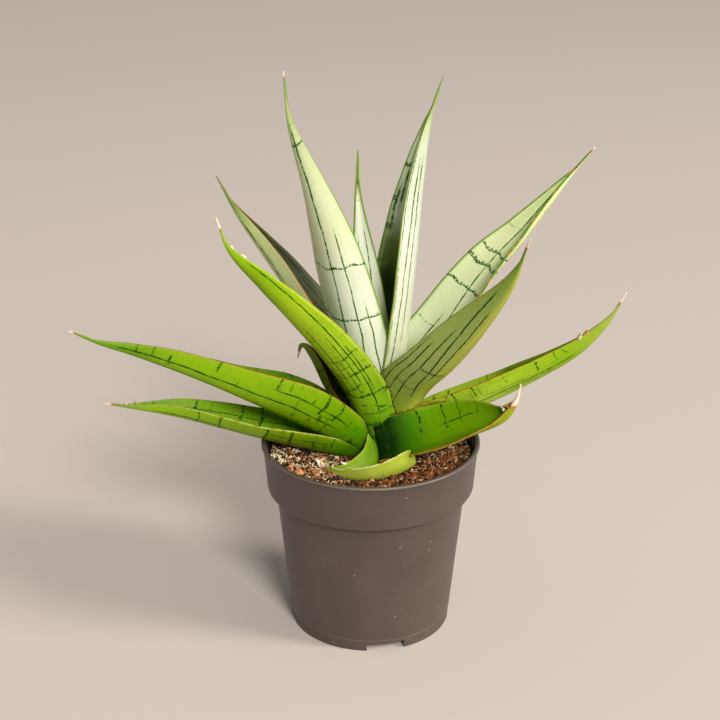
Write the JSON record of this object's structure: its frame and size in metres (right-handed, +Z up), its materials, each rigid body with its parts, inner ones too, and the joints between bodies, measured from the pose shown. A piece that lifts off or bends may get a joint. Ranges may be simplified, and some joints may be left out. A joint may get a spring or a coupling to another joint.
{
  "type": "potted snake plant",
  "caption": "Potted snake plant: a rosette of stiff, channelled, pointed silver and green leaves on a rhizome in soil, in a round tapered nursery pot.",
  "frame": {"origin": "on the surface that the pot stands on, under the middle of the whole plant's box; the pot's own axis is 11.4 mm towards +X and 2.5 mm towards +Y of it", "axes": "+Z up along the pot's axis, +Y towards the back of the plant, +X to the right as the plant is seen from the front"},
  "size_m": [0.2922, 0.1248, 0.3251],
  "materials": {
    "pot_plastic": "satin",
    "potting_mix": "matte",
    "rhizome_flesh": "matte",
    "silver_leaf": "satin",
    "grey_green_leaf": "satin",
    "bright_green_leaf": "satin"
  },
  "bodies": {
    "root": {"pot": "pot_plastic", "soil": "potting_mix", "rhizome": "rhizome_flesh", "leaf_01_heart": "silver_leaf", "leaf_02_tall_right": "silver_leaf", "leaf_03_tall_left": "silver_leaf", "leaf_04_silver_right": "silver_leaf", "leaf_05_back_left": "grey_green_leaf", "leaf_06_grey_right": "grey_green_leaf", "leaf_07_front_left": "bright_green_leaf", "leaf_08_low_right": "bright_green_leaf", "leaf_09_short_back": "bright_green_leaf", "leaf_10_long_left": "bright_green_leaf", "leaf_11_front_right": "bright_green_leaf", "leaf_12_low_left": "bright_green_leaf", "leaf_13_old_curled": "bright_green_leaf"}
  },
  "joints": []
}
